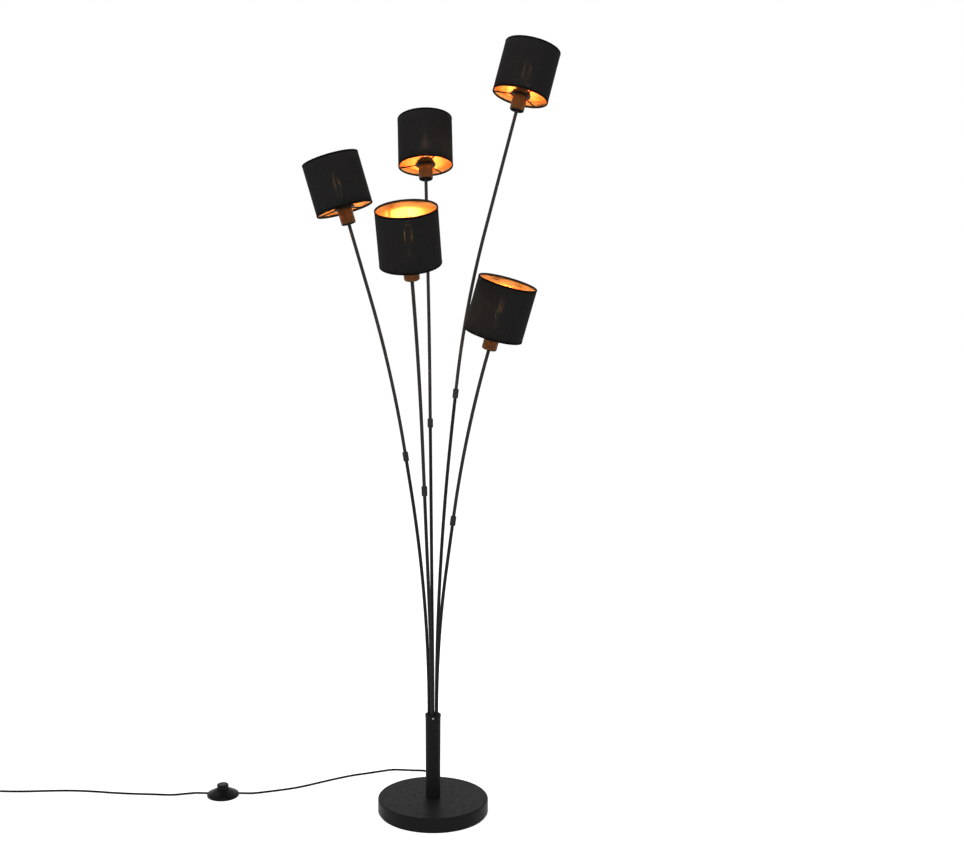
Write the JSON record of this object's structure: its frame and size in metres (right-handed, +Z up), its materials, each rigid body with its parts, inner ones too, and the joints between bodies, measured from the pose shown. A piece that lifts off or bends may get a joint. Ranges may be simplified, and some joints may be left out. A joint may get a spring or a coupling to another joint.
{
  "type": "tree floor lamp",
  "caption": "Floor lamp whose thin arms fan out from a short pole on a round weighted base, each ending in a small drum shade; foot switch and coiled cord with a flat plug.",
  "frame": {"origin": "centre of the round base, on the floor", "axes": "+Z up, -Y towards the front, +X to the right seen from the front; the cord leads away to -X"},
  "size_m": [1.363, 0.5953, 1.6004],
  "materials": {
    "powder_coat": "satin black powder coat",
    "weight_iron": "rough grey iron",
    "pad_foam": "dull black foam",
    "cord_rubber": "black sheath with a soft sheen",
    "zinc_steel": "bright zinc plating",
    "hub_alloy": "black coated alloy",
    "socket_plastic": "dull black heat-proof plastic",
    "switch_plastic": "plain black",
    "switch_gloss": "glossy black",
    "pin_metal": "nickel plated",
    "bulb_glass": "clear glass with a warm light",
    "shade_fabric": "black weave outside, copper foil inside",
    "spider_enamel": "pale enamel"
  },
  "bodies": {
    "lamp": {"base_cover": "powder_coat", "base_weight": "weight_iron", "base_pad": "pad_foam", "cord_relief": "cord_rubber", "tie_rod": "zinc_steel", "tie_washer": "zinc_steel", "tie_nut": "zinc_steel", "pole_tube": "powder_coat", "pole_plug": "zinc_steel", "rod_hub": "hub_alloy", "hub_screw": "zinc_steel", "arm_sleeves": "powder_coat", "sleeve_screws": "zinc_steel", "holder_nuts": "zinc_steel", "ring_nuts": "socket_plastic", "switch_plate": "switch_plastic", "switch_contact": "switch_plastic", "switch_cover": "switch_gloss", "cord_lamp_side": "cord_rubber", "cord_plug_side": "cord_rubber", "cord_coil": "cord_rubber", "cord_plug_tail": "cord_rubber", "plug_body": "switch_gloss", "plug_pins": "pin_metal", "arm_lower_a": "powder_coat", "arm_upper_a": "powder_coat", "holder_cup_a": "powder_coat", "lamp_socket_a": "socket_plastic", "bulb_a": "bulb_glass", "shade_drum_a": "shade_fabric", "shade_spider_a": "spider_enamel", "arm_lower_b": "powder_coat", "arm_upper_b": "powder_coat", "holder_cup_b": "powder_coat", "lamp_socket_b": "socket_plastic", "bulb_b": "bulb_glass", "shade_drum_b": "shade_fabric", "shade_spider_b": "spider_enamel", "arm_lower_c": "powder_coat", "arm_upper_c": "powder_coat", "holder_cup_c": "powder_coat", "lamp_socket_c": "socket_plastic", "bulb_c": "bulb_glass", "shade_drum_c": "shade_fabric", "shade_spider_c": "spider_enamel", "arm_lower_d": "powder_coat", "arm_upper_d": "powder_coat", "holder_cup_d": "powder_coat", "lamp_socket_d": "socket_plastic", "bulb_d": "bulb_glass", "shade_drum_d": "shade_fabric", "shade_spider_d": "spider_enamel", "arm_lower_e": "powder_coat", "arm_upper_e": "powder_coat", "holder_cup_e": "powder_coat", "lamp_socket_e": "socket_plastic", "bulb_e": "bulb_glass", "shade_drum_e": "shade_fabric", "shade_spider_e": "spider_enamel"},
    "foot_button": {"switch_button": "switch_gloss"}
  },
  "joints": [
    {"name": "foot_button_press", "type": "slide", "parent": "lamp", "child": "foot_button", "axis": [0, 0, -1], "range_m": [0, 0.0035], "stiffness_N_per_m": 700, "springref_m": -0.001}
  ]
}
